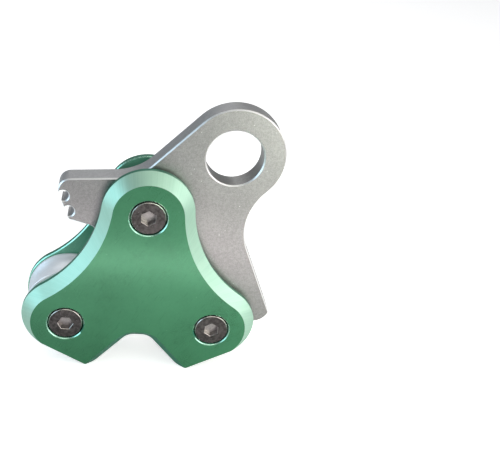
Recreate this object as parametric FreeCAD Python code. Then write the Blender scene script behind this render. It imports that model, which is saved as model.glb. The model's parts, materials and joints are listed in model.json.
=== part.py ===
import FreeCAD, Part
import math
import os

from FreeCAD import Vector

# Belay device with two cheek plates, a cam arm that carries the carabiner eye, and a fixed bollard.
# The shapes are drawn about the arm's pivot axis: x to the right, z up, and y back from the
# front plate's outer face. The last step moves everything so that the eye's centre is the origin.

# --- driving dimensions, millimetres and degrees -------------------------------------------------

# where the three screws stand, seen from the front
BOLT_X = 27.7
BOLT_DROP = 46.2

# cheek plates
PLATE_T = 6.2
BEVEL = 4.0
EDGE_BREAK = 0.35
FACE_TOP_R = 12.85
FACE_LOBE_R = 13.0
FACE_FLANK_R = 50.8
LOBE_BLEND_R = 12.0
FOOT_SLOPE = 28.4
FOOT_MARGIN = 12.6
FOOT_TIP_X = 17.3
FOOT_R = 4.5
NOTCH_X = 4.0
NOTCH_Z = -51.3
NOTCH_R = 6.0
NOTCH_BREAK = 2.5
BACK_TOP_R = 15.3
BACK_LOBE_R = 17.3
BACK_LOBE_SHIFT = Vector(-1.2, 0, 2.8)
BACK_FLANK_R = 46.0

# stack along y
ARM_FRONT = 8.1
ARM_T = 8.6
BACK_FACE = 20.4

# screws and barrel nuts
HEAD_R = 6.25
HEAD_H = 3.2
HEAD_RECESS = 0.2
HEAD_CHAMFER = 0.2
COUNTERBORE_R = 6.8
HEX_AF = 5.0
HEX_DEPTH = 2.2
HEX_CHAMFER = 0.12
THREAD_R = 3.0
THREAD_PLAY = 0.04
THREAD_LEAD = 0.6
THREAD_RUNOUT = 1.0
SCREW_SHANK = 12.0
SCREW_TURNS = (90, 60, 90)
BARREL_R = 4.0
BARREL_GAP = 0.3
NUT_TURNS = (90, 75, 100)
BORE_PLAY = 0.05

# sleeves, bush and thrust washers on the pins
PIVOT_SLEEVE_R = 6.0
STOP_SLEEVE_R = 6.0
BUSH_R = 7.5
RUNNING_PLAY = 0.05
WASHER_R = 10.0
COLLAR_R = 8.0
FACE_PLAY = 0.2

# return spring
WIRE_R = 0.5
SPRING_R = 9.4
SPRING_TURNS = 2.0
SPRING_PITCH = 1.06
LEG_DEPTH = 2.4
LEG_PLAY = 0.1
LEG_POCKET_R = 0.8
POCKET_SPARE = 3.0

# bollard that the rope bends round; its bore is off centre, so dowels keep it from turning
BOLLARD_SHIFT = Vector(0.8, 0, 2.7)
BOLLARD_R = 16.4
GROOVE_DEPTH = 2.6
GROOVE_LAND = 1.2
BOLLARD_CHAMFER = 0.3
DOWEL_R = 2.0
DOWEL_REACH = 10.6
DOWEL_DEPTH = 2.5
DOWEL_ANGLES = (35.0, 125.0)
DOWEL_SPARE = 0.2

# cam arm
ARM_CHAMFER = 0.45
EYE = Vector(29.05, 0, 21.75)
EYE_BORE_R = 10.35
LUG_CENTRE = Vector(29.5, 0, 22.1)
LUG_R = 17.9
BACK_SLOPE = 47.0
LEVER_SLOPE = 5.0
LEVER_TOP = Vector(-13.0, 0, 11.1)
THROAT_R = 20.0
LEVER_END = Vector(-34.3, 0, 9.2)
LEVER_END_R = 4.6
LEVER_TOE = Vector(-28.3, 0, -6.3)
LEVER_TOE_R = 0.9
LEVER_HEEL = Vector(-18.6, 0, -8.7)
LEVER_HEEL_R = 4.0
SCALLOP_R = 2.1
SCALLOPS = [Vector(-30.6, 0, 3.0), Vector(-28.5, 0, -3.0)]
ROPE_ROOM_R = 28.0
ROPE_ROOM_TOP = 64.0
CAM_CENTRE = Vector(5.0, 0, -36.0)
CAM_R = 11.0
NECK_R = 21.5
NECK_X = 36.3
TAIL_SLOPE = 65.7
TAIL_R = 66.0
TAIL_END = Vector(44.6, 0, -40.3)
TAIL_END_R = 6.4
TAIL_WAIST_R = 6.0
TAIL_CORNER_R = 1.0
SLOT_PLAY = 0.3
RELEASE_ANGLE = 9.0

# how far a cutting shape runs past the face it cuts
OVERRUN = 1.0

# --- values worked out from them -----------------------------------------------------------------

PIVOT = Vector(0, 0, 0)
BOLLARD_AXIS = Vector(-BOLT_X, 0, -BOLT_DROP)
STOP_AXIS = Vector(BOLT_X, 0, -BOLT_DROP)
BOLTS = [PIVOT, BOLLARD_AXIS, STOP_AXIS]
GAP_MIDDLE = (PLATE_T + BACK_FACE) / 2
ARM_BACK = ARM_FRONT + ARM_T
BACK_OUTER = BACK_FACE + PLATE_T
STOP_REACH = STOP_AXIS.Length
STOP_ANGLE = math.degrees(math.atan2(STOP_AXIS.z, STOP_AXIS.x))
SLOT_HALF = STOP_SLEEVE_R + SLOT_PLAY
HEAD_SEAT = HEAD_RECESS + HEAD_H
SPRING_HEIGHT = SPRING_TURNS * SPRING_PITCH
SPRING_START = (ARM_BACK + BACK_FACE - SPRING_HEIGHT) / 2
SPRING_LEG = Vector(SPRING_R, 0, 0)
TO_ROW_FRAME = Vector(-EYE.x, -(ARM_FRONT + ARM_T / 2), -EYE.z)


# --- drawing helpers, all in the x-z plane -------------------------------------------------------

def unit(degrees):
    """Unit vector at an angle from +x towards +z."""
    return Vector(math.cos(math.radians(degrees)), 0, math.sin(math.radians(degrees)))


def heading(vector):
    """Angle of a vector from +x towards +z, in degrees."""
    return math.degrees(math.atan2(vector.z, vector.x))


def line(start, end):
    return Part.LineSegment(start, end).toShape()


def arc(centre, radius, start_angle, end_angle):
    """Arc about a centre from one angle to another, going the way the angles go."""
    angles = (start_angle, (start_angle + end_angle) / 2, end_angle)
    points = [centre + unit(a) * radius for a in angles]
    return Part.Arc(*points).toShape()


def arc_between(centre, start, end, turn):
    """Arc about a centre between two points; turn is +1 for anticlockwise and -1 for clockwise."""
    first = heading(start - centre)
    last = heading(end - centre)
    sweep = (last - first) * turn % 360 * turn
    return arc(centre, (start - centre).Length, first, first + sweep)


def circles_meet(centre_a, radius_a, centre_b, radius_b, side):
    """Where two circles meet, on the left (+1) or right (-1) of the way from a to b."""
    way = centre_b - centre_a
    gap = way.Length
    along = (radius_a ** 2 - radius_b ** 2 + gap ** 2) / (2 * gap)
    across = math.sqrt(radius_a ** 2 - along ** 2)
    ahead = way / gap
    left = Vector(-ahead.z, 0, ahead.x)
    return centre_a + ahead * along + left * (across * side)


def rounded_corner(before, corner, after, radius):
    """Tangent arc that rounds a corner: its start, its middle and its end."""
    back = (before - corner).normalize()
    on = (after - corner).normalize()
    half = math.acos(max(-1.0, min(1.0, back.dot(on)))) / 2
    reach = radius / math.tan(half)
    middle_way = (back + on).normalize()
    middle = corner + middle_way * (radius / math.sin(half) - radius)
    return corner + back * reach, middle, corner + on * reach


def arc_through(points):
    return Part.Arc(*points).toShape()


def closed_wire(edges):
    return Part.Wire(Part.sortEdges(edges)[0])


def mirrored(edges):
    return [edge.mirror(PIVOT, Vector(1, 0, 0)) for edge in edges]


def prism(wire, front, back):
    """Solid between two depths with the outline of a wire drawn at y = 0."""
    face = Part.Face(wire)
    face.translate(Vector(0, front, 0))
    return face.extrude(Vector(0, back - front, 0))


def rod(axis, radius, front, back):
    return Part.makeCylinder(radius, back - front, axis + Vector(0, front, 0), Vector(0, 1, 0))


def bore(axis, radius, front, back):
    """Cutting rod that runs clear of both depths."""
    return rod(axis, radius, front - OVERRUN, back + OVERRUN)


def tube(axis, outer, inner, front, back):
    return rod(axis, outer, front, back).cut(bore(axis, inner, front, back))


def turned(axis, profile):
    """Solid of revolution about a y axis; the profile is a list of (radius, y) points."""
    points = [Vector(r, y, 0) for r, y in profile]
    face = Part.Face(Part.makePolygon(points + points[:1]))
    solid = face.revolve(Vector(0, 0, 0), Vector(0, 1, 0), 360)
    solid.translate(axis)
    return solid


def outline_edges(shape, depth):
    """Edges of a shape that lie wholly in the plane y = depth."""
    box = [(edge, edge.BoundBox) for edge in shape.Edges]
    return [edge for edge, b in box if abs(b.YMin - depth) < 1e-4 and abs(b.YMax - depth) < 1e-4]


# --- cheek plates --------------------------------------------------------------------------------

def foot_line():
    """The straight lower edge on the right: outward normal, and its foot point by the bolt."""
    normal = unit(FOOT_SLOPE - 90)
    return normal, STOP_AXIS + normal * FOOT_MARGIN


def foot_tip():
    """Sharp corner, before rounding, where the right foot's lower edge meets the notch's slope."""
    normal, near = foot_line()
    along = Vector(normal.z, 0, -normal.x)
    return near + along * ((FOOT_TIP_X - near.x) / along.x)


def plate_outline(top_r, lobe_r, lobe_shift, flank_r):
    """Full outline of a cheek plate: head, flanks, lobes, sloping feet and the notch between."""
    lobe = STOP_AXIS + lobe_shift
    flank = circles_meet(PIVOT, top_r + flank_r, lobe, lobe_r + flank_r, +1)
    normal, near = foot_line()
    along = Vector(normal.z, 0, -normal.x)
    tip = foot_tip()
    notch = Vector(NOTCH_X, 0, NOTCH_Z)

    # the blend touches the lobe from inside and the sloping edge
    depth = (near - lobe).dot(normal) - LOBE_BLEND_R
    reach = math.sqrt((lobe_r - LOBE_BLEND_R) ** 2 - depth ** 2)
    blend = lobe + normal * depth - along * reach
    blend_low = blend + normal * LOBE_BLEND_R
    blend_high = lobe + (blend - lobe).normalize() * lobe_r
    lobe_end = lobe + (flank - lobe).normalize() * lobe_r
    flank_end = (flank - PIVOT).normalize() * top_r

    notch_arc = rounded_corner(Vector(0, 0, NOTCH_Z), notch, tip, NOTCH_R)
    foot_arc = rounded_corner(notch, tip, blend_low, FOOT_R)
    half = [
        line(Vector(0, 0, NOTCH_Z), notch_arc[0]),
        arc_through(notch_arc),
        line(notch_arc[2], foot_arc[0]),
        arc_through(foot_arc),
        line(foot_arc[2], blend_low),
        arc_between(blend, blend_low, blend_high, +1),
        arc_between(lobe, blend_high, lobe_end, +1),
        arc_between(flank, lobe_end, flank_end, -1),
        arc_between(PIVOT, flank_end, Vector(0, 0, top_r), +1),
    ]
    return closed_wire(half + mirrored(half))


def bevel_contour(top_r, lobe_r, lobe_shift, flank_r, depth):
    """Contour of the bevelled head, flanks and lobes at a depth; it runs clear below the feet."""
    lobe = STOP_AXIS + lobe_shift
    flank = circles_meet(PIVOT, top_r + flank_r, lobe, lobe_r + flank_r, +1)
    normal, near = foot_line()
    along = Vector(normal.z, 0, -normal.x)
    low = lobe + normal * (lobe_r + depth)
    bottom = low + along * (-low.x / along.x)
    lobe_end = lobe + (flank - lobe).normalize() * (lobe_r + depth)
    flank_end = (flank - PIVOT).normalize() * (top_r + depth)
    half = [
        line(bottom, low),
        arc_between(lobe, low, lobe_end, +1),
        arc_between(flank, lobe_end, flank_end, -1),
        arc_between(PIVOT, flank_end, Vector(0, 0, top_r + depth), +1),
    ]
    wire = closed_wire(half + mirrored(half))
    wire.translate(Vector(0, depth, 0))
    return wire


def notch_contour(depth):
    """Outline of the notch's chamfer cutter at a depth: it narrows by as much as it goes in."""
    wider = NOTCH_BREAK - depth
    tip = foot_tip()
    top = Vector(NOTCH_X, 0, NOTCH_Z)
    way = (tip - top).normalize()
    out = Vector(-way.z, 0, way.x)
    high = NOTCH_Z + wider
    start = top + out * wider
    corner = start + way * ((high - start.z) / way.z)
    low = corner + way * (2 * (tip - top).Length)
    bend = rounded_corner(Vector(0, 0, high), corner, low, NOTCH_R + wider)
    half = [line(Vector(0, 0, high), bend[0]), arc_through(bend), line(bend[2], low),
            line(low, Vector(0, 0, low.z))]
    wire = closed_wire(half + mirrored(half))
    wire.translate(Vector(0, depth, 0))
    return wire


def notch_cutter():
    """Cutter for the chamfer along the notch, which fades out where the feet's tips curve away."""
    return Part.makeLoft([notch_contour(-OVERRUN), notch_contour(NOTCH_BREAK + EDGE_BREAK)], True, True)


def cheek_plate(top_r, lobe_r, lobe_shift, flank_r):
    """A cheek plate with its outer face at y = 0 and its inner face at y = PLATE_T."""
    face = (top_r - BEVEL, lobe_r - BEVEL, lobe_shift, flank_r + BEVEL)
    slab = prism(plate_outline(top_r, lobe_r, lobe_shift, flank_r), 0, PLATE_T)
    contours = [bevel_contour(*face, -OVERRUN), bevel_contour(*face, PLATE_T + OVERRUN)]
    plate = slab.common(Part.makeLoft(contours, True, True)).removeSplitter()
    plate = plate.makeChamfer(EDGE_BREAK, outline_edges(plate, PLATE_T))
    plate = plate.cut(notch_cutter())
    rim_h = OVERRUN + EDGE_BREAK
    for axis in BOLTS:
        plate = plate.cut(rod(axis, COUNTERBORE_R, -OVERRUN, HEAD_SEAT))
        plate = plate.cut(bore(axis, BARREL_R + BORE_PLAY, 0, PLATE_T))
        rim = Part.makeCone(COUNTERBORE_R + rim_h, COUNTERBORE_R, rim_h,
                            axis + Vector(0, -OVERRUN, 0), Vector(0, 1, 0))
        plate = plate.cut(rim)
    return plate


def front_cheek_plate():
    plate = cheek_plate(FACE_TOP_R + BEVEL, FACE_LOBE_R + BEVEL, PIVOT, FACE_FLANK_R - BEVEL)
    return plate.cut(dowel_rods(DOWEL_SPARE)).Solids[0]


def back_cheek_plate():
    plate = cheek_plate(BACK_TOP_R, BACK_LOBE_R, BACK_LOBE_SHIFT, BACK_FLANK_R)
    plate = plate.mirror(PIVOT, Vector(0, 1, 0))
    plate.translate(Vector(0, BACK_OUTER, 0))
    return plate.cut([spring_hole()] + dowel_rods(DOWEL_SPARE)).Solids[0]


# --- screws and barrel nuts ----------------------------------------------------------------------

def hex_prism(axis, front, back, turn):
    radius = HEX_AF / math.sqrt(3)
    corners = [axis + unit(60 * i + turn) * radius for i in range(6)]
    return prism(Part.makePolygon(corners + corners[:1]), front, back)


def with_socket(solid, axis, mouth, depth, turn):
    """Cuts a hex socket with a chamfered mouth at y = mouth, going in along y by a signed depth."""
    front, back = sorted((mouth - math.copysign(OVERRUN, depth), mouth + depth))
    solid = solid.cut(hex_prism(axis, front, back, turn))
    lip = [edge for edge in outline_edges(solid, mouth) if isinstance(edge.Curve, Part.Line)]
    return solid.makeChamfer(HEX_CHAMFER, lip)


def screw(axis, turn):
    """Wide low-head socket screw, its head sunk in the front plate."""
    top = HEAD_RECESS
    end = HEAD_SEAT + SCREW_SHANK
    shank = THREAD_R - THREAD_PLAY
    profile = [(0, top), (HEAD_R - HEAD_CHAMFER, top), (HEAD_R, top + HEAD_CHAMFER),
               (HEAD_R, HEAD_SEAT), (shank, HEAD_SEAT), (shank, end - THREAD_LEAD),
               (shank - THREAD_LEAD, end), (0, end)]
    return with_socket(turned(axis, profile), axis, top, HEX_DEPTH, turn)


def cheek_screws():
    return [screw(axis, turn) for axis, turn in zip(BOLTS, SCREW_TURNS)]


def barrel_nut(axis, turn):
    """Barrel nut, its head sunk in the back plate and its barrel reaching into the front plate."""
    top = BACK_OUTER - HEAD_RECESS
    under = top - HEAD_H
    front = HEAD_SEAT + BARREL_GAP
    thread_end = front + SCREW_SHANK + THREAD_RUNOUT
    profile = [(THREAD_R, front), (BARREL_R, front), (BARREL_R, under), (HEAD_R, under),
               (HEAD_R, top - HEAD_CHAMFER), (HEAD_R - HEAD_CHAMFER, top), (0, top),
               (0, thread_end), (THREAD_R, thread_end)]
    return with_socket(turned(axis, profile), axis, top, -HEX_DEPTH, turn)


def barrel_nuts():
    return [barrel_nut(axis, turn) for axis, turn in zip(BOLTS, NUT_TURNS)]


# --- what sits on the three pins -----------------------------------------------------------------

def sleeve(axis, outer):
    return tube(axis, outer, BARREL_R + BORE_PLAY, PLATE_T, BACK_FACE)


def pivot_sleeve():
    return sleeve(PIVOT, PIVOT_SLEEVE_R)


def stop_sleeve():
    return sleeve(STOP_AXIS, STOP_SLEEVE_R)


def arm_bush():
    return tube(PIVOT, BUSH_R, PIVOT_SLEEVE_R + RUNNING_PLAY, ARM_FRONT, ARM_BACK)


def front_thrust_washer():
    return tube(PIVOT, WASHER_R, PIVOT_SLEEVE_R + BORE_PLAY, PLATE_T, ARM_FRONT - FACE_PLAY)


def back_thrust_collar():
    return tube(PIVOT, COLLAR_R, PIVOT_SLEEVE_R + BORE_PLAY, ARM_BACK + FACE_PLAY, BACK_FACE)


# --- return spring -------------------------------------------------------------------------------

def spring_hole():
    """Hole in the back plate's inner face for the spring's rear leg."""
    return rod(SPRING_LEG, WIRE_R + LEG_PLAY, BACK_FACE - OVERRUN, BACK_FACE + LEG_DEPTH + LEG_PLAY)


def pocket_end(angle, turn):
    return arc(unit(angle) * SPRING_R, LEG_POCKET_R, angle, angle + 180 * turn)


def spring_pocket():
    """Curved pocket in the arm's rear face that the front leg works in."""
    deep = ARM_BACK - LEG_DEPTH - LEG_PLAY
    first = -RELEASE_ANGLE - POCKET_SPARE
    last = POCKET_SPARE
    inner = SPRING_R - LEG_POCKET_R
    outer = SPRING_R + LEG_POCKET_R
    edges = [
        arc(PIVOT, outer, first, last),
        pocket_end(last, +1),
        arc(PIVOT, inner, last, first),
        pocket_end(first, -1),
    ]
    return prism(closed_wire(edges), deep, ARM_BACK + OVERRUN)


def return_spring():
    helix = Part.makeHelix(SPRING_PITCH, SPRING_HEIGHT, SPRING_R)
    section = Part.Wire(Part.makeCircle(WIRE_R, Vector(SPRING_R, 0, 0), Vector(0, 1, 0)))
    coil = Part.Wire(helix.Edges).makePipeShell([section], True, True)
    coil.rotate(Vector(0, 0, 0), Vector(1, 0, 0), -90)
    coil.translate(Vector(0, SPRING_START, 0))
    front_leg = rod(SPRING_LEG, WIRE_R, ARM_BACK - LEG_DEPTH, SPRING_START)
    rear_leg = rod(SPRING_LEG, WIRE_R, SPRING_START + SPRING_HEIGHT, BACK_FACE + LEG_DEPTH)
    return coil.fuse([front_leg, rear_leg])


# --- bollard -------------------------------------------------------------------------------------

def rope_bollard():
    """Grooved post clamped between the plates; the groove is one arc between two lands."""
    half = (BACK_FACE - PLATE_T) / 2
    mouth = half - GROOVE_LAND
    rim = BOLLARD_R - BOLLARD_CHAMFER
    groove = (Vector(BOLLARD_R, GAP_MIDDLE - mouth, 0), Vector(BOLLARD_R - GROOVE_DEPTH, GAP_MIDDLE, 0),
              Vector(BOLLARD_R, GAP_MIDDLE + mouth, 0))
    points = [groove[2], Vector(BOLLARD_R, BACK_FACE - BOLLARD_CHAMFER, 0), Vector(rim, BACK_FACE, 0),
              Vector(0, BACK_FACE, 0), Vector(0, PLATE_T, 0),
              Vector(rim, PLATE_T, 0), Vector(BOLLARD_R, PLATE_T + BOLLARD_CHAMFER, 0), groove[0]]
    edges = [line(p, q) for p, q in zip(points, points[1:])] + [arc_through(groove)]
    post = Part.Face(closed_wire(edges)).revolve(Vector(0, 0, 0), Vector(0, 1, 0), 360)
    post.translate(BOLLARD_AXIS + BOLLARD_SHIFT)
    post = post.cut(bore(BOLLARD_AXIS, BARREL_R + BORE_PLAY, PLATE_T, BACK_FACE))
    return post.cut(dowel_rods(DOWEL_SPARE)).Solids[0]


def dowel_rods(extra=0.0):
    """Four short rods, two at each plate, that key the bollard; extra deepens the plate's end."""
    rods = []
    for angle in DOWEL_ANGLES:
        axis = BOLLARD_AXIS + unit(angle) * DOWEL_REACH
        rods.append(rod(axis, DOWEL_R, PLATE_T - DOWEL_DEPTH - extra, PLATE_T + DOWEL_DEPTH))
        rods.append(rod(axis, DOWEL_R, BACK_FACE - DOWEL_DEPTH, BACK_FACE + DOWEL_DEPTH + extra))
    return rods


def bollard_dowels():
    return dowel_rods()


# --- cam arm -------------------------------------------------------------------------------------

def foot_of(point, start, way):
    """The point of a line, given by start and unit way, that is nearest to a point."""
    return start + way * (point - start).dot(way)


def lines_meet(a, way_a, b, way_b):
    """Where two lines meet, each given by a point and a unit way."""
    cross = way_a.x * way_b.z - way_a.z * way_b.x
    reach = ((b.x - a.x) * way_b.z - (b.z - a.z) * way_b.x) / cross
    return a + way_a * reach


def outer_tangent(centre_a, radius_a, centre_b, radius_b, side):
    """Tangent points of the line that touches two circles on the same side of their centres."""
    way = centre_b - centre_a
    lean = math.degrees(math.asin((radius_b - radius_a) / way.Length))
    normal = unit(heading(way) + side * (90 + lean))
    return centre_a + normal * radius_a, centre_b + normal * radius_b


def arm_upper_edges(lug_left):
    """From the lug's left tangent point down the back, over the lever and round to its heel."""
    lever_way = unit(LEVER_SLOPE)
    back_way = unit(BACK_SLOPE)
    knee = lines_meet(lug_left, back_way, LEVER_TOP, lever_way)
    throat = rounded_corner(lug_left, knee, LEVER_END, THROAT_R)
    end_arc = rounded_corner(throat[2], LEVER_END, LEVER_TOE, LEVER_END_R)
    toe_arc = rounded_corner(end_arc[2], LEVER_TOE, LEVER_HEEL, LEVER_TOE_R)
    edges = [
        line(lug_left, throat[0]),
        arc_through(throat),
        line(throat[2], end_arc[0]),
        arc_through(end_arc),
        line(end_arc[2], toe_arc[0]),
        arc_through(toe_arc),
    ]
    return edges, toe_arc[2]


def arm_rope_edges(start):
    """From the lever's underside round the rope's room over the bollard and down the cam face."""
    room_top = BOLLARD_AXIS + unit(ROPE_ROOM_TOP) * ROPE_ROOM_R
    heel_arc = rounded_corner(start, LEVER_HEEL, room_top, LEVER_HEEL_R)
    cam_top = circles_meet(BOLLARD_AXIS, ROPE_ROOM_R, CAM_CENTRE, CAM_R, +1)
    edges = [
        line(start, heel_arc[0]),
        arc_through(heel_arc),
        line(heel_arc[2], room_top),
        arc_between(BOLLARD_AXIS, room_top, cam_top, -1),
    ]
    return edges, cam_top


def arm_outline():
    lug_left = LUG_CENTRE + unit(BACK_SLOPE + 90) * LUG_R
    neck = Vector(NECK_X + NECK_R, 0, 0)
    neck.z = LUG_CENTRE.z - math.sqrt((LUG_R + NECK_R) ** 2 - (neck.x - LUG_CENTRE.x) ** 2)
    lug_right = LUG_CENTRE + (neck - LUG_CENTRE).normalize() * LUG_R
    neck_low = neck + unit(270 - TAIL_SLOPE) * NECK_R

    tail_way = unit(-TAIL_SLOPE)
    near = foot_of(TAIL_END, neck_low, tail_way)
    tail_tip = near + tail_way * math.sqrt(TAIL_END_R ** 2 - (near - TAIL_END).Length ** 2)

    # the tail's foot keeps one wall all round the stop slot
    slot_end = unit(STOP_ANGLE - RELEASE_ANGLE) * STOP_REACH
    foot_r = TAIL_R - STOP_REACH
    cam_low, foot_left = outer_tangent(CAM_CENTRE, CAM_R, slot_end, foot_r, -1)
    foot_low = unit(heading(slot_end)) * TAIL_R
    foot_right = unit(STOP_ANGLE) * TAIL_R
    waist = circles_meet(STOP_AXIS, foot_r + TAIL_WAIST_R, TAIL_END, TAIL_END_R + TAIL_WAIST_R, -1)
    waist_in = STOP_AXIS + (waist - STOP_AXIS).normalize() * foot_r
    waist_out = TAIL_END + (waist - TAIL_END).normalize() * TAIL_END_R

    upper, toe = arm_upper_edges(lug_left)
    rope_side, cam_top = arm_rope_edges(toe)
    edges = upper + rope_side + [
        arc_between(CAM_CENTRE, cam_top, cam_low, +1),
        line(cam_low, foot_left),
        arc_between(slot_end, foot_left, foot_low, +1),
        arc_between(PIVOT, foot_low, foot_right, +1),
        arc_between(STOP_AXIS, foot_right, waist_in, +1),
        arc_between(waist, waist_in, waist_out, -1),
        arc_between(TAIL_END, waist_out, tail_tip, +1),
        line(tail_tip, neck_low),
        arc_between(neck, neck_low, lug_right, -1),
        arc_between(LUG_CENTRE, lug_right, lug_left, +1),
    ]
    return closed_wire(edges)


def stop_slot():
    """Slot about the stop post: its ends set how far the arm can swing, and one rests on the post."""
    first = STOP_ANGLE - RELEASE_ANGLE
    last = STOP_ANGLE
    edges = [
        arc(PIVOT, STOP_REACH + SLOT_HALF, first, last),
        arc(unit(last) * STOP_REACH, SLOT_HALF, last, last + 180),
        arc(PIVOT, STOP_REACH - SLOT_HALF, last, first),
        arc(unit(first) * STOP_REACH, SLOT_HALF, first - 180, first),
    ]
    return prism(closed_wire(edges), ARM_FRONT - OVERRUN, ARM_BACK + OVERRUN)


def tail_corner(shape):
    """The edge through the arm's thickness that stands furthest right below the pivot."""
    through = [e for e in shape.Edges if e.BoundBox.YLength > ARM_T / 2 and e.CenterOfMass.z < 0]
    return max(through, key=lambda e: e.CenterOfMass.x)


def cam_arm():
    arm = prism(arm_outline(), ARM_FRONT, ARM_BACK)
    arm = arm.makeFillet(TAIL_CORNER_R, [tail_corner(arm)])
    holes = [bore(centre, SCALLOP_R, ARM_FRONT, ARM_BACK) for centre in SCALLOPS]
    holes.append(bore(EYE, EYE_BORE_R, ARM_FRONT, ARM_BACK))
    arm = arm.cut(holes + [stop_slot()])
    rims = outline_edges(arm, ARM_FRONT) + outline_edges(arm, ARM_BACK)
    arm = arm.makeChamfer(ARM_CHAMFER, rims)
    return arm.cut([bore(PIVOT, BUSH_R, ARM_FRONT, ARM_BACK), spring_pocket()]).Solids[0]


# --- export --------------------------------------------------------------------------------------

NODES = {
    "front_cheek_plate": front_cheek_plate,
    "back_cheek_plate": back_cheek_plate,
    "cam_arm": cam_arm,
    "arm_bush": arm_bush,
    "pivot_sleeve": pivot_sleeve,
    "front_thrust_washer": front_thrust_washer,
    "back_thrust_collar": back_thrust_collar,
    "return_spring": return_spring,
    "rope_bollard": rope_bollard,
    "bollard_dowels": bollard_dowels,
    "stop_sleeve": stop_sleeve,
    "cheek_screws": cheek_screws,
    "barrel_nuts": barrel_nuts,
}


def main():
    os.makedirs("parts", exist_ok=True)
    for name, build in NODES.items():
        made = build()
        solids = made if isinstance(made, list) else [made]
        shape = solids[0] if len(solids) == 1 else Part.makeCompound(solids)
        shape.translate(TO_ROW_FRAME)
        shape.exportStep("parts/" + name + ".step")
        state = "valid" if shape.isValid() else "INVALID"
        print(name, len(shape.Solids), state, round(shape.Volume, 1))


main()
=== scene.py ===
"""Looks of a belay device: finishes, fine edges, studio and camera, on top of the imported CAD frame."""
from __future__ import annotations

import json
import logging
import math
from dataclasses import dataclass, field
from enum import Enum, IntEnum
from typing import Callable, Mapping, Optional, Sequence, Union

import bpy
from mathutils import Euler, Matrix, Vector


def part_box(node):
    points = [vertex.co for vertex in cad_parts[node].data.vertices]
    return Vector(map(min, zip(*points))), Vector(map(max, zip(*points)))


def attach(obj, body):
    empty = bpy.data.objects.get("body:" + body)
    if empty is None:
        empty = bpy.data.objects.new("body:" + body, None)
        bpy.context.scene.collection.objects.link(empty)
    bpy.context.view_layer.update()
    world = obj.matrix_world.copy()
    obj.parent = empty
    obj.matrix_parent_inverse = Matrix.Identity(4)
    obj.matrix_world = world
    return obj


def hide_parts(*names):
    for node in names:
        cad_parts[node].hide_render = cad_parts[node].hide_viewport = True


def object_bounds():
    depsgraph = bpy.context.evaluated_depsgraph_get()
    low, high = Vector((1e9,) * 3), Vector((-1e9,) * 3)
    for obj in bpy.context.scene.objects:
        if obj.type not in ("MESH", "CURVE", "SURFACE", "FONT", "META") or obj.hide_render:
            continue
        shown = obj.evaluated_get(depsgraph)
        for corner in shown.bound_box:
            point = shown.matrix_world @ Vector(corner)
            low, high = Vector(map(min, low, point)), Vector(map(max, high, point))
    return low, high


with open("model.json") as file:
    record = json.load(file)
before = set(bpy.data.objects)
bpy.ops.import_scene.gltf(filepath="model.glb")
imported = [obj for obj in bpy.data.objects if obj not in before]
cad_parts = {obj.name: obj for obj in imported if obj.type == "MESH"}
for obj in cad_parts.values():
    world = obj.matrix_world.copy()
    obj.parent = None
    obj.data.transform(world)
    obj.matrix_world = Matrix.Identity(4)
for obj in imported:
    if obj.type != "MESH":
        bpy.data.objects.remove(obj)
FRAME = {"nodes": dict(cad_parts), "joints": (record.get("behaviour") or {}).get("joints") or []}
CAD_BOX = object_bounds()

LOG = logging.getLogger("belay_device")

MM = 0.001

Number = Union[int, float]
Colour = tuple[float, float, float]
Place = tuple[float, float, float]

WHITE: Colour = (1.0, 1.0, 1.0)
BLACK: Colour = (0.0, 0.0, 0.0)
DEVICE_MIDDLE: Place = (-0.03, 0.0, -0.04)

# How far a face's normal leans along y: a wall less than the first, a flat face more than the second.
WALL_LEAN = 0.3
FLAT_LEAN = 0.95


# --- shader maths --------------------------------------------------------------------------------

class Value:
    """A node's output socket that Python expressions can do maths on."""

    def __init__(self, tree: "NodeTree", socket: Optional[bpy.types.NodeSocket]) -> None:
        """Keeps the socket and the tree that it is in.

        Args:
            tree: the tree under construction.
            socket: an output socket in it, or None for a node that ends the tree.
        """
        self.tree = tree
        self.socket = socket

    def _two(self, operation: str, first: "Operand", second: "Operand") -> "Value":
        """Adds a two-input Math node.

        Args:
            operation: the Math node's operation.
            first: its first input.
            second: its second input.

        Returns:
            The node's result.
        """
        return self.tree.node("ShaderNodeMath", {"operation": operation}, {0: first, 1: second})

    def __add__(self, other: "Operand") -> "Value":
        """self + other."""
        return self._two("ADD", self, other)

    def __radd__(self, other: "Operand") -> "Value":
        """other + self."""
        return self._two("ADD", other, self)

    def __sub__(self, other: "Operand") -> "Value":
        """self - other."""
        return self._two("SUBTRACT", self, other)

    def __rsub__(self, other: "Operand") -> "Value":
        """other - self."""
        return self._two("SUBTRACT", other, self)

    def __mul__(self, other: "Operand") -> "Value":
        """self * other."""
        return self._two("MULTIPLY", self, other)

    def __rmul__(self, other: "Operand") -> "Value":
        """other * self."""
        return self._two("MULTIPLY", other, self)

    def __pow__(self, other: "Operand") -> "Value":
        """self to the power of other."""
        return self._two("POWER", self, other)

    def __rpow__(self, other: "Operand") -> "Value":
        """other to the power of self."""
        return self._two("POWER", other, self)

    def ramp(self, low: Number, high: Number) -> "Value":
        """Smooth step from 0 at low to 1 at high.

        Args:
            low: where the result leaves 0.
            high: where it reaches 1; it may be below low for a falling step.

        Returns:
            The smooth step.
        """
        sockets = {"Value": self, "From Min": low, "From Max": high}
        return self.tree.node("ShaderNodeMapRange", {"interpolation_type": "SMOOTHSTEP"}, sockets)


Operand = Union[Value, int, float]


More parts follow.
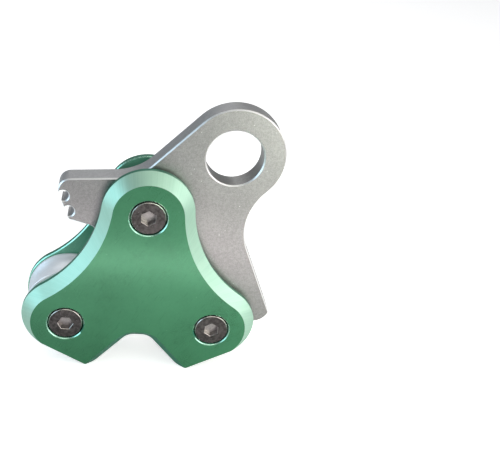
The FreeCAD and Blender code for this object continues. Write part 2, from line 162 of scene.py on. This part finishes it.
class NodeTree:
    """A node tree whose nodes all come from one method."""

    def __init__(self, tree: bpy.types.NodeTree) -> None:
        """Empties the tree.

        Args:
            tree: a material's or a world's node tree.
        """
        self.tree = tree
        self.tree.nodes.clear()

    def feed(self, socket: bpy.types.NodeSocket, value: object) -> None:
        """Sets a socket to a number or colour, or links a value to it.

        Args:
            socket: the input socket.
            value: a Value, a number, a colour or a vector.
        """
        if isinstance(value, Value):
            self.tree.links.new(value.socket, socket)
        elif socket.type == "RGBA":
            socket.default_value = (*value, 1.0)
        else:
            socket.default_value = value

    def node(self, kind: str, settings: Optional[Mapping[str, object]] = None,
             sockets: Optional[Mapping[Union[int, str], object]] = None,
             output: Union[int, str] = 0) -> Value:
        """Adds a node.

        Args:
            kind: the node's type.
            settings: its own settings, set first.
            sockets: values or links for its inputs.
            output: the output that is wanted.

        Returns:
            That output.
        """
        made = self.tree.nodes.new(kind)
        for key, setting in (settings or {}).items():
            setattr(made, key, setting)
        for key, value in (sockets or {}).items():
            self.feed(made.inputs[key], value)
        return Value(self, made.outputs[output] if made.outputs else None)


class Shader(NodeTree):
    """Builds one procedural material on object coordinates, round a Principled shader."""

    NOISE_ROUGHNESS = 0.55
    # A speck is full inside this share of its radius, and the last of its share of cells fade in.
    SPECK_CORE = 0.4
    SPECK_FADE = 0.7
    # Where a colour Mix node keeps its sockets.
    MIX_FACTOR = 0
    MIX_FIRST = 6
    MIX_SECOND = 7
    MIX_RESULT = 2

    def __init__(self, name: str) -> None:
        """Starts an empty material.

        Args:
            name: the material's name.
        """
        self.material = bpy.data.materials.new(name)
        self.material.use_nodes = True
        super().__init__(self.material.node_tree)
        self.place = self.node("ShaderNodeTexCoord", output="Object")

    def stretched(self, scale: Sequence[float], turn: Sequence[float] = (0.0, 0.0, 0.0)) -> Value:
        """Object coordinates turned and scaled.

        Args:
            scale: scale along each axis.
            turn: turn about each axis in degrees.

        Returns:
            The mapped coordinates.
        """
        angles = tuple(math.radians(angle) for angle in turn)
        return self.node("ShaderNodeMapping", {"vector_type": "TEXTURE"},
                         {"Vector": self.place, "Rotation": angles,
                          "Scale": tuple(1.0 / part for part in scale)})

    def noise(self, scale: float, detail: float = 2.0, where: Optional[Value] = None) -> Value:
        """Soft noise from 0 to 1.

        Args:
            scale: features per metre, or per unit of where.
            detail: octaves.
            where: coordinates, object coordinates by default.

        Returns:
            The noise factor.
        """
        sockets = {"Vector": where or self.place, "Scale": scale, "Detail": detail,
                   "Roughness": self.NOISE_ROUGHNESS}
        return self.node("ShaderNodeTexNoise", {"noise_dimensions": "3D"}, sockets)

    def specks(self, scale: float, size: float, share: float) -> Value:
        """Sparse round specks.

        Args:
            scale: cells per metre.
            size: speck radius as a share of a cell.
            share: about what share of the cells has one.

        Returns:
            1 on a speck, 0 elsewhere.
        """
        sockets = {"Vector": self.place, "Scale": scale}
        near = self.node("ShaderNodeTexVoronoi", {"feature": "F1"}, sockets, "Distance")
        tint = self.node("ShaderNodeTexVoronoi", {"feature": "F1"}, sockets, "Color")
        pick = self.node("ShaderNodeSeparateColor", {}, {"Color": tint}, "Red")
        dot = near.ramp(size, size * self.SPECK_CORE)
        return dot * pick.ramp(1.0 - share, 1.0 - share * self.SPECK_FADE)

    def blend(self, factor: Operand, first: object, second: object) -> Value:
        """Mixes two colours.

        Args:
            factor: 0 for the first, 1 for the second.
            first: a colour.
            second: a colour.

        Returns:
            The mixed colour.
        """
        sockets = {self.MIX_FACTOR: factor, self.MIX_FIRST: first, self.MIX_SECOND: second}
        return self.node("ShaderNodeMix", {"data_type": "RGBA"}, sockets, self.MIX_RESULT)

    def bump(self, height: Value, depth: float, strength: float = 1.0) -> Value:
        """Bump from a height.

        Args:
            height: height from 0 to 1.
            depth: metres for a height of 1.
            strength: strength of the effect.

        Returns:
            The bumped normal.
        """
        sockets = {"Height": height, "Distance": depth, "Strength": strength}
        return self.node("ShaderNodeBump", {}, sockets)

    def finish(self, **sockets: object) -> bpy.types.Material:
        """Feeds the Principled shader and ends the tree.

        Args:
            sockets: values by socket name, with _ for a space.

        Returns:
            The finished material.
        """
        named = {name.replace("_", " "): value for name, value in sockets.items()}
        surface = self.node("ShaderNodeBsdfPrincipled", {}, named)
        self.node("ShaderNodeOutputMaterial", {}, {"Surface": surface})
        return self.material


# --- finishes ------------------------------------------------------------------------------------

@dataclass(frozen=True)
class SatinAnodise:
    """Dyed satin anodise over fine blasting, with faint mottling and a few pale specks.

    Here and in the finishes below, a scale is in features per metre and a depth in metres.
    """

    name: str = "satin_green_anodise"
    deep: Colour = (0.042, 0.190, 0.090)
    light: Colour = (0.060, 0.248, 0.122)
    speck: Colour = (0.22, 0.50, 0.34)
    roughness: float = 0.29
    metallic: float = 0.62
    coat: float = 0.25
    coat_roughness: float = 0.27
    cloud_scale: float = 55.0
    soft_scale: float = 900.0
    grain_scale: float = 7000.0
    speck_scale: float = 700.0
    scratch_scale: tuple[float, float, float] = (9000.0, 500.0, 160.0)
    scratch_turn: tuple[float, float, float] = (0.0, 28.0, 0.0)
    depth: float = 0.000010

    def make(self) -> bpy.types.Material:
        """Mixes cloud, grain, specks and faint scratches.

        Returns:
            The material.
        """
        s = Shader(self.name)
        cloud = s.noise(self.cloud_scale, 3.0)
        grain = s.noise(self.grain_scale, 2.0)
        soft = s.noise(self.soft_scale, 2.0)
        scratch = s.noise(1.0, 1.0, s.stretched(self.scratch_scale, self.scratch_turn))
        mottle = cloud * 0.6 + soft * 0.25 + grain * 0.15
        dyed = s.blend(mottle.ramp(0.25, 0.75), self.deep, self.light)
        colour = s.blend(s.specks(self.speck_scale, 0.12, 0.05) * 0.8, dyed, self.speck)
        dull = self.roughness + (cloud - 0.5) * 0.10 + (grain - 0.5) * 0.10
        rough = dull - scratch.ramp(0.66, 0.80) * 0.05
        return s.finish(Base_Color=colour, Roughness=rough, Metallic=self.metallic,
                        Coat_Weight=self.coat, Coat_Roughness=self.coat_roughness,
                        Normal=s.bump(grain * 0.7 + soft * 0.3, self.depth, 0.5))


@dataclass(frozen=True)
class MilledBevel:
    """Bevel milled after blasting: pale, with cutter lines that run across it."""

    name: str = "milled_bevel"
    shade: Colour = (0.385, 0.640, 0.500)
    light: Colour = (0.500, 0.740, 0.600)
    centre: Place = (-0.029, 0.0, -0.052)
    roughness: float = 0.36
    metallic: float = 0.80
    fine_lines: float = 109.2
    broad_lines: float = 18.9
    grain_scale: float = 6000.0
    depth: float = 0.000008

    def make(self) -> bpy.types.Material:
        """Runs noise round the plate's centre, so that its streaks cross the bevel.

        Returns:
            The material.
        """
        s = Shader(self.name)
        away = s.node("ShaderNodeVectorMath", {"operation": "SUBTRACT"}, {0: s.place, 1: self.centre})
        flat = s.node("ShaderNodeVectorMath", {"operation": "MULTIPLY"}, {0: away, 1: (1.0, 0.0, 1.0)})
        way = s.node("ShaderNodeVectorMath", {"operation": "NORMALIZE"}, {0: flat})
        fine = s.noise(self.fine_lines, 2.0, way)
        broad = s.noise(self.broad_lines, 2.0, way)
        grain = s.noise(self.grain_scale, 2.0)
        cut = fine * 0.55 + broad * 0.35 + grain * 0.10
        colour = s.blend(cut.ramp(0.22, 0.78), self.shade, self.light)
        rough = self.roughness + fine * 0.10 + grain * 0.06
        return s.finish(Base_Color=colour, Roughness=rough, Metallic=self.metallic,
                        Normal=s.bump(fine * 0.8 + grain * 0.2, self.depth, 0.4))


@dataclass(frozen=True)
class BlastedMetal:
    """Bead-blasted bare metal: fine even grain, soft clouds and a few bright pits."""

    name: str = "blasted_grey"
    shade: Colour = (0.262, 0.260, 0.254)
    light: Colour = (0.385, 0.381, 0.374)
    speck: Colour = (0.85, 0.85, 0.85)
    roughness: float = 0.38
    metallic: float = 0.80
    cloud_scale: float = 60.0
    soft_scale: float = 900.0
    grain_scale: float = 2600.0
    speck_scale: float = 1000.0
    depth: float = 0.000016

    def make(self) -> bpy.types.Material:
        """Mixes grain, clouds and pits.

        Returns:
            The material.
        """
        s = Shader(self.name)
        grain = s.noise(self.grain_scale, 3.0)
        soft = s.noise(self.soft_scale, 3.0)
        cloud = s.noise(self.cloud_scale, 3.0)
        mix = grain * 0.50 + soft * 0.30 + cloud * 0.20
        metal = s.blend(mix.ramp(0.34, 0.66), self.shade, self.light)
        colour = s.blend(s.specks(self.speck_scale, 0.20, 0.05), metal, self.speck)
        rough = self.roughness + (grain - 0.5) * 0.18 + (cloud - 0.5) * 0.06
        return s.finish(Base_Color=colour, Roughness=rough, Metallic=self.metallic,
                        Normal=s.bump(grain * 0.6 + soft * 0.4, self.depth, 0.6))


@dataclass(frozen=True)
class CutEdge:
    """Bright freshly cut edge or chamfer with a little tool chatter."""

    name: str
    shade: Colour
    light: Colour
    roughness: float = 0.22
    metallic: float = 0.95
    chatter_scale: float = 2600.0
    nick_scale: float = 420.0
    depth: float = 0.000006

    def make(self) -> bpy.types.Material:
        """Mixes chatter and nicks.

        Returns:
            The material.
        """
        s = Shader(self.name)
        chatter = s.noise(self.chatter_scale, 2.0)
        nick = s.noise(self.nick_scale, 2.0)
        colour = s.blend((chatter * 0.5 + nick * 0.5).ramp(0.3, 0.7), self.shade, self.light)
        return s.finish(Base_Color=colour, Roughness=self.roughness + chatter * 0.10,
                        Metallic=self.metallic, Normal=s.bump(chatter, self.depth, 0.4))


@dataclass(frozen=True)
class OxidisedSteel:
    """Dark oxidised steel with pale handling specks."""

    name: str = "dark_screw_steel"
    shade: Colour = (0.044, 0.040, 0.038)
    light: Colour = (0.120, 0.110, 0.106)
    speck: Colour = (0.45, 0.44, 0.46)
    roughness: float = 0.30
    metallic: float = 0.9
    blot_scale: float = 800.0
    grain_scale: float = 5200.0
    speck_scale: float = 1500.0
    depth: float = 0.000010

    def make(self) -> bpy.types.Material:
        """Mixes blots of oxide, grain and specks.

        Returns:
            The material.
        """
        s = Shader(self.name)
        blot = s.noise(self.blot_scale, 4.0)
        grain = s.noise(self.grain_scale, 2.0)
        oxide = s.blend((blot * 0.7 + grain * 0.3).ramp(0.32, 0.68), self.shade, self.light)
        colour = s.blend(s.specks(self.speck_scale, 0.22, 0.14) * 0.8, oxide, self.speck)
        return s.finish(Base_Color=colour, Roughness=self.roughness + blot * 0.16, Metallic=self.metallic,
                        Normal=s.bump(grain * 0.6 + blot * 0.4, self.depth, 0.5))


@dataclass(frozen=True)
class TurnedMetal:
    """Lathe-turned metal: fine rings about an axis along y."""

    name: str
    shade: Colour
    light: Colour
    centre: tuple[float, float]
    roughness: float = 0.24
    metallic: float = 0.9
    rings: float = 3800.0
    cloud_scale: float = 90.0
    depth: float = 0.000006

    def make(self) -> bpy.types.Material:
        """Lays rings by the distance from the axis.

        Returns:
            The material.
        """
        s = Shader(self.name)
        x = s.node("ShaderNodeSeparateXYZ", {}, {"Vector": s.place}, "X") - self.centre[0]
        y = s.node("ShaderNodeSeparateXYZ", {}, {"Vector": s.place}, "Y")
        z = s.node("ShaderNodeSeparateXYZ", {}, {"Vector": s.place}, "Z") - self.centre[1]
        radius = (x * x + z * z) ** 0.5
        along = s.node("ShaderNodeCombineXYZ", {}, {"X": radius * self.rings, "Y": y * self.rings})
        ring = s.noise(1.0, 2.0, along)
        cloud = s.noise(self.cloud_scale, 2.0)
        colour = s.blend((ring * 0.4 + cloud * 0.6).ramp(0.3, 0.7), self.shade, self.light)
        return s.finish(Base_Color=colour, Roughness=self.roughness + ring * 0.10, Metallic=self.metallic,
                        Normal=s.bump(ring, self.depth, 0.4))


@dataclass(frozen=True)
class MouldedAcetal:
    """Moulded black acetal with a faint sheen and flow marks."""

    name: str = "black_acetal"
    shade: Colour = (0.012, 0.012, 0.013)
    light: Colour = (0.030, 0.030, 0.032)
    roughness: float = 0.38
    flow_scale: float = 240.0
    grain_scale: float = 5000.0
    depth: float = 0.000008

    def make(self) -> bpy.types.Material:
        """Mixes flow marks and grain.

        Returns:
            The material.
        """
        s = Shader(self.name)
        flow = s.noise(self.flow_scale, 3.0)
        grain = s.noise(self.grain_scale, 1.0)
        colour = s.blend(flow.ramp(0.3, 0.7), self.shade, self.light)
        return s.finish(Base_Color=colour, Roughness=self.roughness + grain * 0.14, Metallic=0.0,
                        Normal=s.bump(grain, self.depth, 0.4))


@dataclass(frozen=True)
class StudioPaint:
    """Plain pale floor paint that looks a little lighter than the light it throws back."""

    name: str = "studio_floor"
    colour: Colour = (0.88, 0.88, 0.88)
    shading: float = 0.985
    roughness: float = 0.85
    lift: float = 0.62
    roller_scale: float = 30.0

    def make(self) -> bpy.types.Material:
        """Mixes the roller's marks, and adds the lift that only the camera sees.

        Returns:
            The material.
        """
        s = Shader(self.name)
        roller = s.noise(self.roller_scale, 2.0)
        darker = tuple(part * self.shading for part in self.colour)
        seen = s.node("ShaderNodeLightPath", output="Is Camera Ray")
        return s.finish(Base_Color=s.blend(roller, darker, self.colour), Roughness=self.roughness,
                        Emission_Color=s.blend(seen, BLACK, WHITE), Emission_Strength=self.lift)


# --- pieces --------------------------------------------------------------------------------------

def deselect() -> None:
    """Leaves object mode and deselects everything."""
    if bpy.context.object and bpy.context.object.mode != "OBJECT":
        bpy.ops.object.mode_set(mode="OBJECT")
    bpy.ops.object.select_all(action="DESELECT")


def take(piece: bpy.types.Object) -> None:
    """Makes one object the only selected one, and active.

    Args:
        piece: the object.
    """
    deselect()
    piece.select_set(True)
    bpy.context.view_layer.objects.active = piece


def nearest(middle: Vector, axes: Sequence[Vector]) -> float:
    """Distance from a point to the nearest of some axes that run along y.

    Args:
        middle: the point.
        axes: a point on each axis.

    Returns:
        The distance in metres.
    """
    flat = Vector((middle.x, 0, middle.z))
    return min((flat - Vector((axis.x, 0, axis.z))).length for axis in axes)


def axis_of(node: str) -> tuple[float, float]:
    """Returns the x and z of a turned node's own axis."""
    low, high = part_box(node)
    return (low.x + high.x) / 2, (low.z + high.z) / 2


class Dressed:
    """A merged copy of a CAD node, with a finish for each kind of face."""

    MERGE_DISTANCE = 0.000002
    FLAT_ANGLE = 0.2
    SMOOTH_ANGLE = 32.0

    def __init__(self, node: str, name: str, body: str, slot: str) -> None:
        """Copies the node's mesh and joins its loose triangles.

        Args:
            node: the CAD node.
            name: the new piece's name.
            body: the body that the piece rides on.
            slot: the record's material slot; not used.
        """
        self.node = node
        self.body = body
        self.slot = slot
        mesh = FRAME["nodes"][node].data.copy()
        self.piece = bpy.data.objects.new(name, mesh)
        bpy.context.scene.collection.objects.link(self.piece)
        mesh.materials.clear()
        take(self.piece)
        bpy.ops.mesh.customdata_custom_splitnormals_clear()
        bpy.ops.object.mode_set(mode="EDIT")
        bpy.ops.mesh.select_all(action="SELECT")
        bpy.ops.mesh.remove_doubles(threshold=self.MERGE_DISTANCE)
        bpy.ops.mesh.dissolve_limited(angle_limit=math.radians(self.FLAT_ANGLE))
        bpy.ops.object.mode_set(mode="OBJECT")

    def paint(self, finishes: Mapping[IntEnum, bpy.types.Material],
              choose: Callable[[Vector, Vector], IntEnum]) -> None:
        """Gives each face its finish.

        Args:
            finishes: the material of each slot, in slot order.
            choose: takes a face's middle and normal, and returns its slot.
        """
        for finish in finishes.values():
            self.piece.data.materials.append(finish)
        for face in self.piece.data.polygons:
            face.material_index = int(choose(face.center, face.normal))

    def done(self) -> bpy.types.Object:
        """Shades the piece, puts it in place of its node and logs it.

        Returns:
            The finished piece.
        """
        take(self.piece)
        bpy.ops.object.shade_smooth_by_angle(angle=math.radians(self.SMOOTH_ANGLE))
        deselect()
        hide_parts(self.node)
        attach(self.piece, self.body)
        LOG.info("%s: %d faces", self.piece.name, len(self.piece.data.polygons))
        return self.piece


@dataclass
class Palette:
    """Every finish of the device, made once."""

    anodise: bpy.types.Material = field(default_factory=lambda: SatinAnodise().make())
    # Painted light: the plates' inner faces get this much lighter copy of the anodise, to offset the
    # shade between the plates.
    inner_anodise_painted_light: bpy.types.Material = field(default_factory=lambda: SatinAnodise(
        "inner_green_anodise_painted_light", (0.160, 0.480, 0.310), (0.220, 0.580, 0.390), metallic=0.30).make())
    # Painted shade: the walls, and the notch's chamfer, get this darker teal copy of the anodise,
    # standing for the shade they lie in.
    wall_anodise_painted_shade: bpy.types.Material = field(default_factory=lambda: SatinAnodise(
        "wall_green_anodise_painted_shade", (0.022, 0.160, 0.095), (0.036, 0.210, 0.130),
        roughness=0.40, metallic=0.40, coat=0.0).make())
    bevel: bpy.types.Material = field(default_factory=lambda: MilledBevel().make())
    green_edge: bpy.types.Material = field(default_factory=lambda: CutEdge(
        "green_cut_edge", (0.30, 0.62, 0.46), (0.50, 0.85, 0.68)).make())
    blasted: bpy.types.Material = field(default_factory=lambda: BlastedMetal().make())
    # Painted light: the arm's side walls get this paler copy of the blasted finish, standing for the
    # light that falls on them.
    blasted_side_painted_light: bpy.types.Material = field(default_factory=lambda: BlastedMetal(
        "blasted_grey_side_painted_light", (0.360, 0.358, 0.360), (0.490, 0.488, 0.492), metallic=0.60).make())
    bright_edge: bpy.types.Material = field(default_factory=lambda: CutEdge(
        "bright_cut_edge", (0.93, 0.93, 0.93), (0.99, 0.99, 0.99), 0.34).make())
    screw: bpy.types.Material = field(default_factory=lambda: OxidisedSteel().make())
    screw_rim: bpy.types.Material = field(default_factory=lambda: CutEdge(
        "screw_rim", (0.45, 0.42, 0.39), (0.74, 0.70, 0.66)).make())
    socket: bpy.types.Material = field(default_factory=lambda: CutEdge(
        "socket_steel", (0.25, 0.235, 0.23), (0.46, 0.43, 0.42), 0.34).make())
    acetal: bpy.types.Material = field(default_factory=lambda: MouldedAcetal().make())


class Side(Enum):
    """Which cheek plate."""

    FRONT = "front_cheek_plate"
    BACK = "back_cheek_plate"


class PlateFace(IntEnum):
    """Material slots of a cheek plate."""

    SATIN = 0
    BEVEL = 1
    CUT_RIM = 2
    INNER = 3
    WALL = 4


@dataclass
class CheekPlate:
    """A green cheek plate: satin face, milled bevel, cut rims, inner faces with painted light, and walls
    with painted shade (a darker copy of the anodise).
    """

    side: Side
    palette: Palette
    rim_reach: float = 8.0 * MM
    rim_depth: float = 0.5 * MM
    notch_reach: float = 22.0 * MM

    def bolt_places(self) -> list[Vector]:
        """Finds the axes of the three screws: the pivot, then the lower left and right.

        Returns:
            A point on each axis.
        """
        low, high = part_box("cheek_screws")
        pivot = Vector(FRAME["joints"][0]["pos_m"])
        head = high.z - pivot.z
        return [pivot, Vector((low.x + head, 0, low.z + head)), Vector((high.x - head, 0, low.z + head))]

    def build(self) -> bpy.types.Object:
        """Builds and dresses the plate.

        Returns:
            The plate.
        """
        low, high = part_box(self.side.value)
        outward = -1.0 if self.side is Side.FRONT else 1.0
        face_y = low.y if self.side is Side.FRONT else high.y
        pivot, *lower = bolts = self.bolt_places()

        def choose(middle: Vector, normal: Vector) -> PlateFace:
            """Tells the plate's faces apart; the notch's chamfer is finished as its walls are, with
            painted shade.

            Args:
                middle: a face's middle.
                normal: its normal.

            Returns:
                The face's slot.
            """
            slope = normal.y * outward
            # Walls take the darker wall finish, which is painted shade.
            if abs(slope) < WALL_LEAN:
                return PlateFace.WALL
            if abs(slope) > FLAT_LEAN:
                return PlateFace.INNER if slope < 0 else PlateFace.SATIN
            # The notch's chamfer takes the wall finish too, as painted shade.
            if middle.z < lower[0].z and abs(middle.x - pivot.x) < self.notch_reach:
                return PlateFace.WALL
            near_hole = nearest(middle, bolts) < self.rim_reach
            at_rim = near_hole and abs(middle.y - face_y) < self.rim_depth
            return PlateFace.CUT_RIM if slope < 0 or at_rim else PlateFace.BEVEL

        plate = Dressed(self.side.value, self.side.value + "_finish", "cheeks", "green_anodised")
        plate.paint({PlateFace.SATIN: self.palette.anodise,
                     PlateFace.BEVEL: self.palette.bevel,
                     PlateFace.CUT_RIM: self.palette.green_edge,
                     # The inner faces carry painted light and the walls carry painted shade.
                     PlateFace.INNER: self.palette.inner_anodise_painted_light,
                     PlateFace.WALL: self.palette.wall_anodise_painted_shade}, choose)
        return plate.done()


class ArmFace(IntEnum):
    """Material slots of the arm."""

    BLASTED = 0
    CHAMFER = 1
    SIDE = 2


@dataclass
class CamArm:
    """The thick grey arm: blasted faces, sides with painted light (a paler copy of the blasted finish),
    bright cut chamfers.
    """

    palette: Palette
    eye_reach: float = 11.0 * MM

    def build(self) -> bpy.types.Object:
        """Builds and dresses the arm.

        Returns:
            The arm.
        """
        def choose(middle: Vector, normal: Vector) -> ArmFace:
            """Tells the arm's faces apart; the wall of the eye, round the origin, is blasted too, while
            the other sides get painted light.

            Args:
                middle: a face's middle.
                normal: its normal.

            Returns:
                The face's slot.
            """
            if abs(normal.y) > WALL_LEAN:
                return ArmFace.CHAMFER if abs(normal.y) < FLAT_LEAN else ArmFace.BLASTED
            # Side walls away from the eye take the paler side finish, which is painted light.
            return ArmFace.BLASTED if math.hypot(middle.x, middle.z) < self.eye_reach else ArmFace.SIDE

        arm = Dressed("cam_arm", "cam_arm_finish", "arm", "grey_blasted_alloy")
        arm.paint({ArmFace.BLASTED: self.palette.blasted,
                   ArmFace.CHAMFER: self.palette.bright_edge,
                   ArmFace.SIDE: self.palette.blasted_side_painted_light}, choose)
        return arm.done()


class HeadFace(IntEnum):
    """Material slots of a screw or a barrel nut."""

    DARK = 0
    RIM = 1
    SOCKET = 2


@dataclass
class Fasteners:
    """Screws in front and barrel nuts behind: dark heads, bright rims, pale sockets."""

    palette: Palette
    socket_reach: float = 3.15 * MM
    socket_top: float = 0.05 * MM
    socket_floor: float = 2.5 * MM
    rim_depth: float = 0.6 * MM

    def dress(self, node: str, places: Sequence[Vector]) -> bpy.types.Object:
        """Builds and dresses one group of fasteners.

        Args:
            node: the CAD node.
            places: the fasteners' axes.

        Returns:
            The group.
        """
        low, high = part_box(node)
        head_y = low.y if node == "cheek_screws" else high.y

        def choose(middle: Vector, normal: Vector) -> HeadFace:
            """Tells a fastener's faces apart.

            Args:
                middle: a face's middle.
                normal: its normal.

            Returns:
                The face's slot.
            """
            deep = abs(middle.y - head_y)
            if WALL_LEAN < abs(normal.y) < FLAT_LEAN and deep < self.rim_depth:
                return HeadFace.RIM
            at_axis = nearest(middle, places) < self.socket_reach
            in_socket = at_axis and self.socket_top < deep < self.socket_floor
            return HeadFace.SOCKET if in_socket else HeadFace.DARK

        group = Dressed(node, node + "_finish", "cheeks", "dark_screw_steel")
        group.paint({HeadFace.DARK: self.palette.screw,
                     HeadFace.RIM: self.palette.screw_rim,
                     HeadFace.SOCKET: self.palette.socket}, choose)
        return group.done()

    def build(self, places: Sequence[Vector]) -> list[bpy.types.Object]:
        """Builds the screws and the nuts.

        Args:
            places: the fasteners' axes.

        Returns:
            Both groups.
        """
        return [self.dress(node, places) for node in ("cheek_screws", "barrel_nuts")]


@dataclass
class InnerParts:
    """The pieces between the plates, each a CAD node with its own turned or moulded finish."""

    palette: Palette

    def build(self) -> None:
        """Dresses each node where it is."""
        pivot = FRAME["joints"][0]["pos_m"]
        at_pivot = (pivot[0], pivot[2])
        steel = ((0.34, 0.34, 0.35), (0.58, 0.58, 0.60))
        for node in ("bollard_dowels", "stop_sleeve", "pivot_sleeve"):
            self.dress(node, TurnedMetal(node + "_steel", *steel, axis_of(node)).make())
        self.dress("rope_bollard", TurnedMetal(
            "pale_bollard_steel", (0.88, 0.88, 0.90), (0.96, 0.96, 0.98), axis_of("rope_bollard"),
            roughness=0.36, metallic=0.25).make())
        self.dress("arm_bush", TurnedMetal(
            "bush_bronze", (0.36, 0.22, 0.08), (0.58, 0.38, 0.16), at_pivot).make())
        self.dress("return_spring", TurnedMetal(
            "spring_wire", (0.30, 0.30, 0.31), (0.55, 0.55, 0.56), at_pivot).make())
        for node in ("front_thrust_washer", "back_thrust_collar"):
            self.dress(node, self.palette.acetal)

    @staticmethod
    def dress(node: str, finish: bpy.types.Material) -> None:
        """Puts a finish on a CAD node's slots.

        Args:
            node: the CAD node.
            finish: its material.
        """
        for slot in FRAME["nodes"][node].material_slots:
            slot.material = finish
        LOG.info("%s: %s", node, finish.name)


# --- studio --------------------------------------------------------------------------------------

@dataclass(frozen=True)
class SoftBox:
    """A soft area light that looks at a point."""

    name: str
    place: Place
    aim: Place
    width: float
    height: float
    power: float
    colour: Colour = WHITE
    spread: float = 180.0

    def build(self) -> bpy.types.Object:
        """Makes the light, unseen by the camera.

        Returns:
            The light.
        """
        data = bpy.data.lights.new(self.name, "AREA")
        data.shape = "RECTANGLE"
        data.size = self.width
        data.size_y = self.height
        data.energy = self.power
        data.color = self.colour
        data.spread = math.radians(self.spread)
        light = bpy.data.objects.new(self.name, data)
        light.location = self.place
        light.rotation_euler = (Vector(self.aim) - Vector(self.place)).to_track_quat("-Z", "Y").to_euler()
        light.visible_camera = False
        bpy.context.scene.collection.objects.link(light)
        return light


@dataclass
class Studio:
    """Pale floor, soft light and the camera."""

    floor_half: float = 3.0
    air: Colour = (0.94, 0.96, 1.0)
    air_strength: float = 0.28
    camera_place: Place = (-0.04371, -0.25561, 0.10323)
    camera_turn: tuple[float, float, float] = (61.939, -6.324, -4.466)
    lens: float = 55.897
    shift_x: float = 0.10
    clip_start: float = 0.01
    boxes: tuple[SoftBox, ...] = (
        SoftBox("left_box", (-0.55, -0.16, 0.03), DEVICE_MIDDLE, 0.42, 0.46, 1.34, (0.52, 0.80, 1.0)),
        SoftBox("right_box", (0.50, -0.26, 0.16), DEVICE_MIDDLE, 0.50, 0.50, 1.42, (1.0, 0.94, 0.93)),
        SoftBox("front_box", (0.15, -0.32, 0.01), (0.06, 0.0, -0.03), 0.14, 0.20, 0.125,
                (0.96, 1.0, 0.88), 50.0),
        SoftBox("top_box", (0.14, -0.38, 0.60), DEVICE_MIDDLE, 0.90, 0.30, 0.90, (1.0, 0.98, 0.88)),
        SoftBox("back_box", (-0.20, 0.50, 0.70), DEVICE_MIDDLE, 0.80, 0.80, 2.4),
        SoftBox("low_strip", (-0.025, -0.076, -0.076), (-0.025, -0.0124, -0.039), 0.12, 0.005, 0.0135,
                (1.0, 0.84, 0.91)),
    )

    def floor(self) -> bpy.types.Object:
        """Lays the floor level with the device's lowest point.

        Returns:
            The floor.
        """
        low, high = CAD_BOX
        middle = (Vector(low) + Vector(high)) / 2
        deselect()
        bpy.ops.mesh.primitive_plane_add(size=2 * self.floor_half, location=(middle.x, middle.y, low[2]))
        floor = bpy.context.object
        floor.name = "studio_floor"
        bpy.ops.object.transform_apply(location=True, rotation=True, scale=True)
        floor.data.materials.append(StudioPaint().make())
        deselect()
        return floor

    def sky(self) -> None:
        """Sets an even pale world, seen white and lit softer."""
        world = bpy.data.worlds.new("studio_air")
        world.use_nodes = True
        air = NodeTree(world.node_tree)
        lit = air.node("ShaderNodeBackground", {}, {"Color": self.air, "Strength": self.air_strength})
        seen = air.node("ShaderNodeBackground", {}, {"Color": WHITE, "Strength": 1.0})
        to_camera = air.node("ShaderNodeLightPath", output="Is Camera Ray")
        either = air.node("ShaderNodeMixShader", {}, {0: to_camera, 1: lit, 2: seen})
        air.node("ShaderNodeOutputWorld", {}, {"Surface": either})
        bpy.context.scene.world = world

    def camera(self) -> bpy.types.Object:
        """Sets up the scene's camera.

        Returns:
            The camera.
        """
        data = bpy.data.cameras.new("view")
        data.lens = self.lens
        data.shift_x = self.shift_x
        data.clip_start = self.clip_start
        view = bpy.data.objects.new("view", data)
        view.location = self.camera_place
        view.rotation_euler = Euler(tuple(math.radians(angle) for angle in self.camera_turn), "XYZ")
        bpy.context.scene.collection.objects.link(view)
        bpy.context.scene.camera = view
        return view

    def build(self) -> None:
        """Builds the floor, the lights and the camera."""
        self.floor()
        self.sky()
        for box in self.boxes:
            box.build()
        self.camera()
        bpy.context.scene.view_settings.view_transform = "Standard"


def main() -> None:
    """Builds and dresses the device, then the studio."""
    logging.basicConfig(level=logging.INFO, format="%(name)s %(message)s")
    deselect()
    palette = Palette()
    plates = [CheekPlate(side, palette) for side in Side]
    for plate in plates:
        plate.build()
    CamArm(palette).build()
    Fasteners(palette).build(plates[0].bolt_places())
    InnerParts(palette).build()
    Studio().build()


if __name__ == "__main__":
    main()
